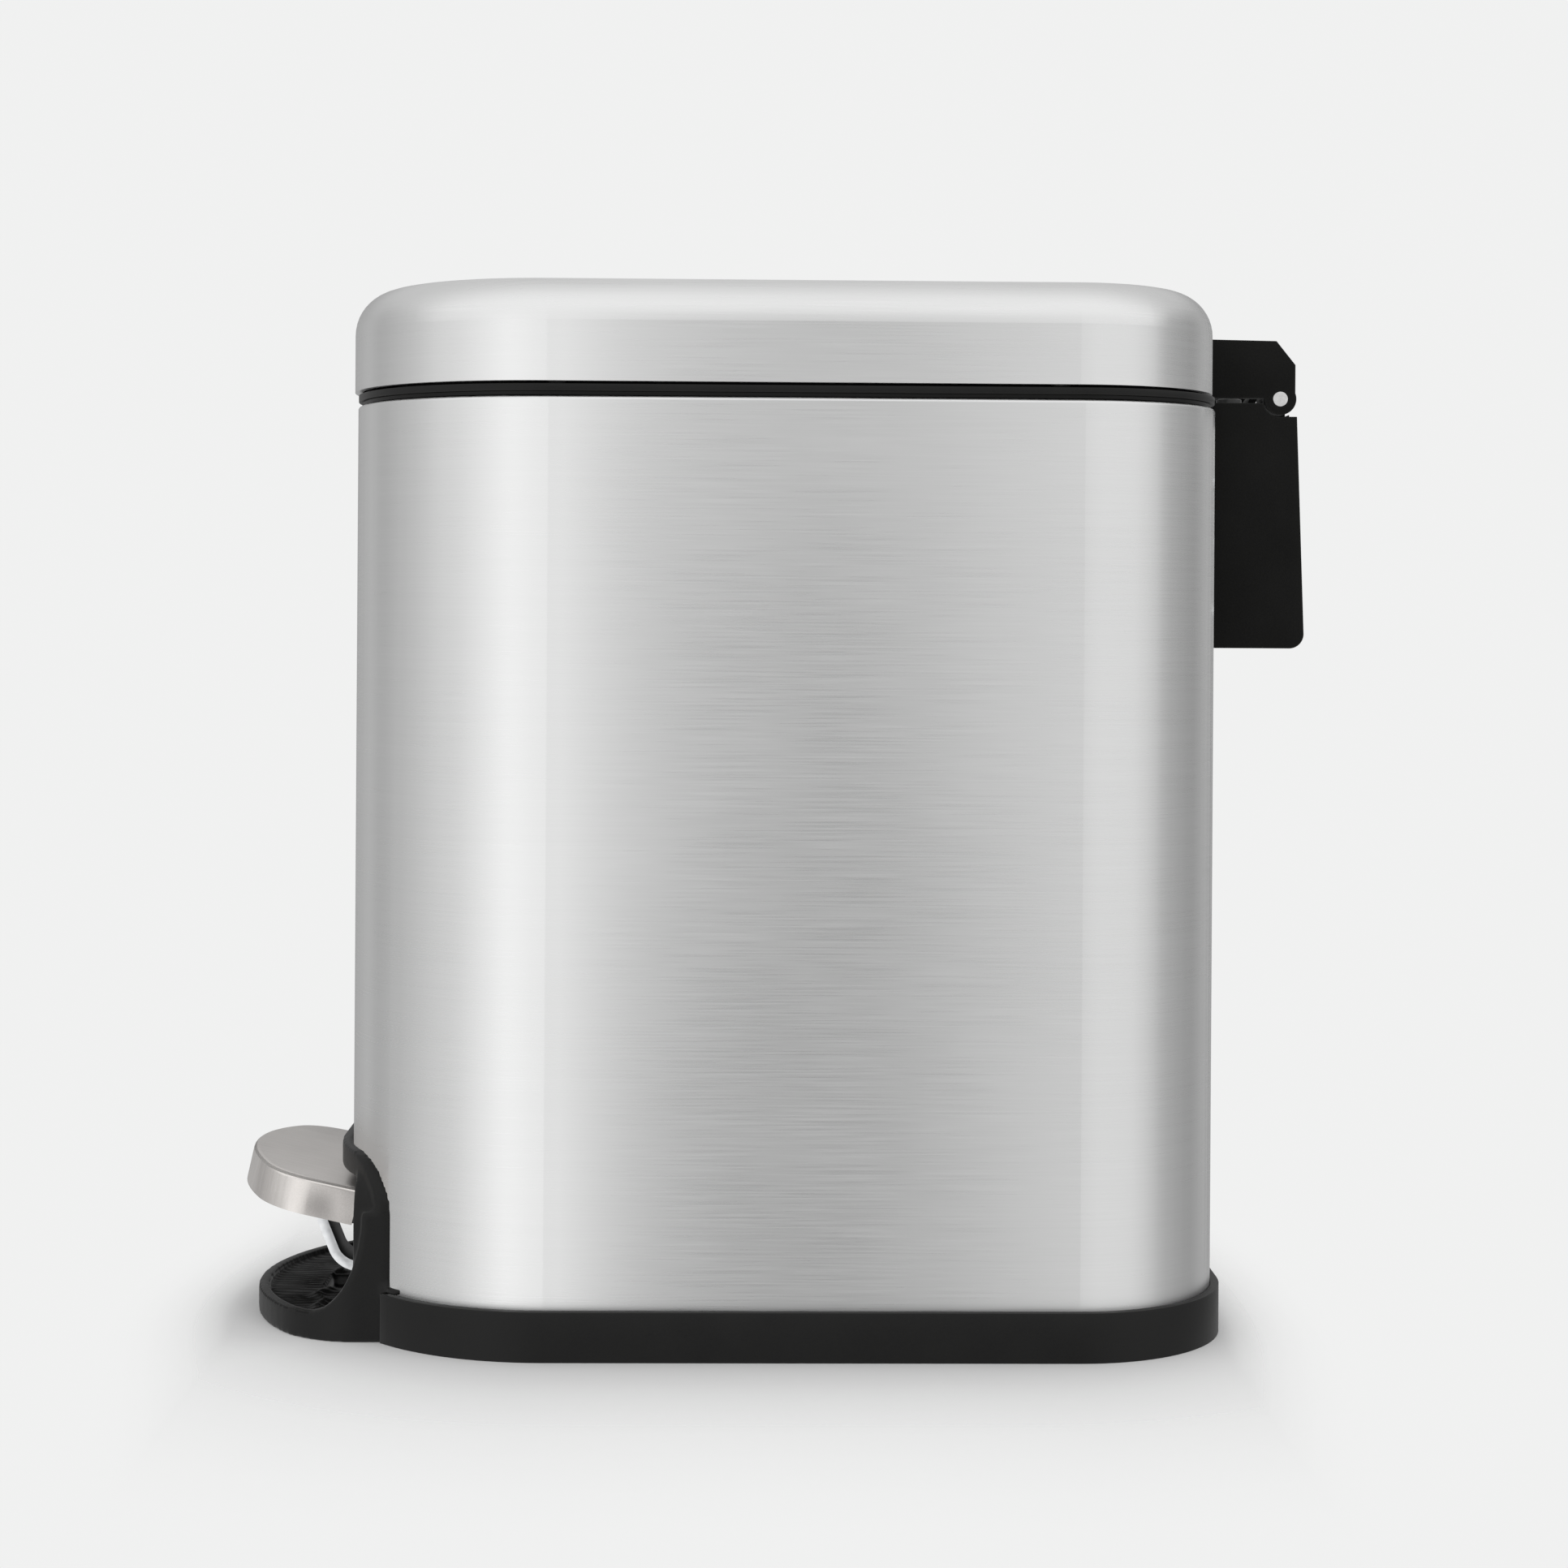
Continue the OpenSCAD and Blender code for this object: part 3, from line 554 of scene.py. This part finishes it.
def layFloor():
    freeSelection()
    bpy.ops.mesh.primitive_plane_add(size=floorShadowLook["size"], location=(0, 0, 0))
    floor = bpy.context.object
    floor.name = "floor_with_painted_shadow"
    paper = Finish("paper_with_painted_shadow", Roughness=0.9, Specular_IOR_Level=0.2)
    fibre = paper.noise(paper.place, 900.0)
    paper.give(Base_Color=paper.mixed(fibre, floorShadowLook["dark"], floorShadowLook["light"]))
    # painted shadow: the darkened floor shows near the foot and blends by distance into the see-through
    # floor
    paintedShadowShare = paper.greys(footDistance(paper) * (1 / floorShadowLook["reach"]), floorShadowLook["share"])
    clear = paper.node("ShaderNodeBsdfTransparent")
    solid = Wire(paper, paper.shader.outputs[0])
    shown = paper.node("ShaderNodeMixShader", {}, {0: paintedShadowShare, 1: clear, 2: solid})
    paper.feed(paper.tree.nodes["Material Output"].inputs["Surface"], shown)
    floor.visible_glossy = False
    floor.data.materials.append(paper.material)


studio = {
    "plain": (0.875, 0.878, 0.875, 1),
    # brightness round the bin: degrees from straight in front, to the left negative
    "around": [(-180, 0.42), (-150, 0.52), (-136, 0.66), (-124, 0.56), (-110, 0.68), (-90, 0.83),
               (-68, 0.95), (-54, 1.2), (-37, 1.5), (-18, 1.32), (-10, 1.05), (-7, 0.82), (-4, 0.62),
               (1.8, 0.38), (6.5, 0.48), (10, 0.68), (15, 0.85), (27, 1.05), (60, 1.04), (76, 0.85),
               (88, 0.62), (121, 0.44), (140, 0.56), (152, 0.5), (180, 0.42)],
    # brightness above it: share of the way from the front's horizon over the top to the back's
    "above": [(0.03, 1.25), (0.134, 1.3), (0.233, 1.38), (0.344, 1.36), (0.455, 1.2), (0.567, 1.02),
              (0.644, 0.94), (0.744, 0.86), (0.89, 0.78)],
    "riseFrom": 0.07, "riseTo": 0.28, "behindRise": 0.18,
}


def lightStudio():
    world = bpy.data.worlds.new("soft_studio")
    bpy.context.scene.world = world
    world.use_nodes = True
    room = Nodes(world.node_tree)
    look = room.node("ShaderNodeTexCoord", out="Generated")
    x, y, z = (room.along(axis, look) for axis in "XYZ")
    ahead = y * -1.0
    brightest = max(value for _, value in studio["around"])
    around = room.greys(room.ranged(room.maths("ARCTAN2", x, ahead), -math.pi, math.pi),
                        [((angle + 180) / 360, value / brightest) for angle, value in studio["around"]])
    above = room.greys(room.ranged(room.maths("ARCTAN2", z, ahead), 0.0, math.pi),
                       [(share, value / brightest) for share, value in studio["above"]])
    # behind the bin the side light reaches higher
    behind = room.ranged(y, -0.2, 0.2, 0.0, studio["behindRise"])
    rise = room.ranged(z - behind, studio["riseFrom"], studio["riseTo"])
    glow = room.tree.nodes["Background"]
    room.feed(glow.inputs["Color"], room.mixed(rise, around, above))
    room.feed(glow.inputs["Strength"], brightest)
    plain = room.node("ShaderNodeBackground", {}, {"Color": studio["plain"]})
    seen = room.node("ShaderNodeLightPath", out="Is Camera Ray")
    shown = room.node("ShaderNodeMixShader", {}, {0: seen, 1: Wire(room, glow.outputs[0]), 2: plain})
    room.feed(room.tree.nodes["World Output"].inputs["Surface"], shown)


softbox = {"place": (0.0, -0.3, 1.9), "aim": (0, 0, 0.1), "size": (1.6, 1.2), "watts": 4.0}


def addSoftbox():
    light = bpy.data.lights.new("overhead_softbox", "AREA")
    light.shape = "RECTANGLE"
    light.size, light.size_y = softbox["size"]
    light.energy = softbox["watts"]
    lamp = bpy.data.objects.new("overhead_softbox", light)
    bpy.context.scene.collection.objects.link(lamp)
    lamp.visible_glossy = False
    lamp.location = softbox["place"]
    lamp.rotation_euler = (Vector(softbox["aim"]) - lamp.location).to_track_quat("-Z", "Y").to_euler()


# place in metres and turns in radians; the camera looks level, and its shift centres the bin
frontCamera = {"place": (-0.01441, -0.81528, 0.19395), "turn": -0.0187, "roll": 0.0063,
               "lens": 66.09, "sensor": 36, "shift": -0.107}


def setCamera():
    lens = bpy.data.cameras.new("front_camera")
    lens.lens = frontCamera["lens"]
    lens.sensor_width = frontCamera["sensor"]
    lens.shift_y = frontCamera["shift"]
    camera = bpy.data.objects.new("front_camera", lens)
    bpy.context.scene.collection.objects.link(camera)
    level = Matrix.Rotation(math.pi / 2, 4, "X")
    roll = Matrix.Rotation(frontCamera["roll"], 4, "Z")
    turn = Matrix.Rotation(frontCamera["turn"], 4, "Z")
    camera.matrix_world = Matrix.Translation(frontCamera["place"]) @ turn @ level @ roll
    bpy.context.scene.camera = camera


layFloor()
lightStudio()
addSoftbox()
setCamera()
bpy.context.scene.view_settings.view_transform = "Standard"
print("studio ready")

freeSelection()
